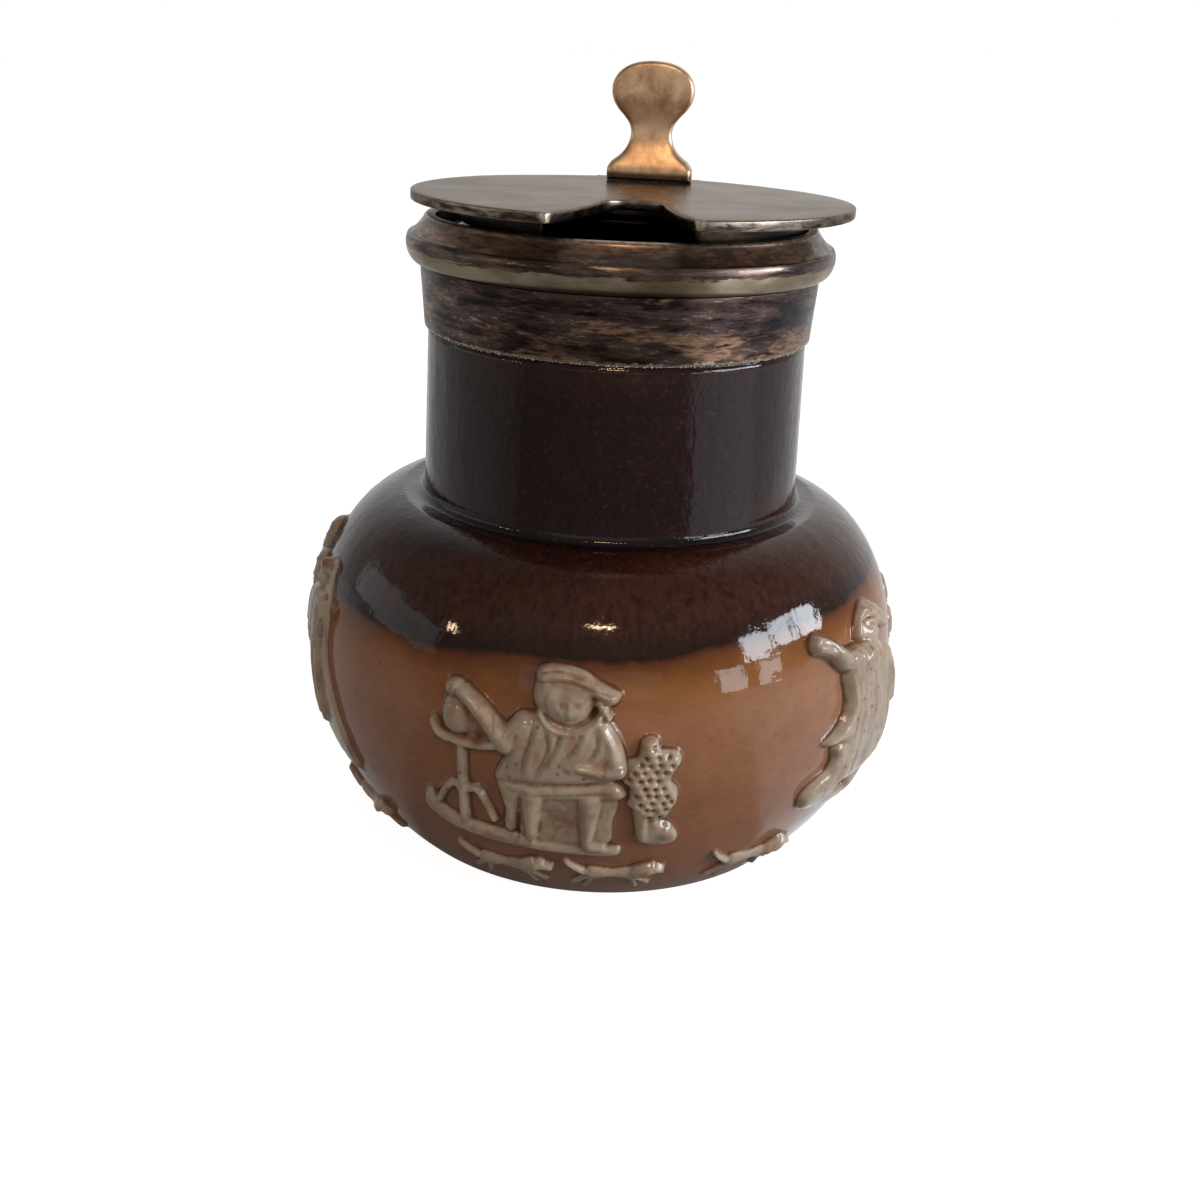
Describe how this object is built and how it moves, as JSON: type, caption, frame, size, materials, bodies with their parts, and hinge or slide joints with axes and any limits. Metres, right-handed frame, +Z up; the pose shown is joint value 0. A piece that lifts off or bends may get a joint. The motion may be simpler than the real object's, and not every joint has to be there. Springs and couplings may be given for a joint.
{
  "type": "mustard pot",
  "caption": "Round-bellied glazed stoneware mustard pot with pressed relief figures, a metal collar and a hinged flat lid with a spoon slot and a thumbpiece.",
  "frame": {"origin": "middle of the flat base, on the surface that the pot stands on", "axes": "+Z up; -Y to the front, where the spoon slot is; +Y to the back, where the hinge and the handle are; the hinge axis runs along X"},
  "size_m": [0.0641, 0.0758, 0.0789],
  "materials": {
    "glazed_stoneware": "glossy dark brown salt glaze above, tan below",
    "relief_clay": "glossy pale clay with brown in the hollows",
    "plaster": "matt",
    "tarnished_silver": "tarnished silver plate, satin",
    "nickel_silver": "worn nickel silver, satin to bright",
    "bronze": "warm mottled bronze"
  },
  "bodies": {
    "pot": {"stoneware_body": "glazed_stoneware", "handle": "glazed_stoneware", "toper_at_table": "relief_clay", "leafy_bush": "relief_clay", "drinker_figure": "relief_clay", "standing_man": "relief_clay", "tree_left": "relief_clay", "windmill": "relief_clay", "tree_right": "relief_clay", "standing_woman": "relief_clay", "hunt_hound_1": "relief_clay", "hunt_hound_2": "relief_clay", "hunt_hound_3": "relief_clay", "hunt_hound_4": "relief_clay", "hunt_hare": "relief_clay", "hunt_stag": "relief_clay", "hunt_hound_5": "relief_clay", "hunt_hound_6": "relief_clay", "hunt_rider": "relief_clay", "hunt_hound_7": "relief_clay", "plaster_bed": "plaster", "collar_skirt": "tarnished_silver", "collar_bead": "nickel_silver", "collar_rim": "tarnished_silver", "hinge_strip": "tarnished_silver", "knuckle_left": "tarnished_silver", "knuckle_right": "tarnished_silver", "hinge_pin": "nickel_silver"},
    "lid": {"lid_plate": "tarnished_silver", "lid_bezel": "tarnished_silver", "lid_knuckle": "tarnished_silver", "thumbpiece": "bronze"}
  },
  "joints": [
    {"name": "lid_hinge", "type": "hinge", "parent": "pot", "child": "lid", "pos_m": [0.001, 0.0229, 0.0652], "axis": [-1, 0, 0], "range_deg": [0, 100]}
  ]
}
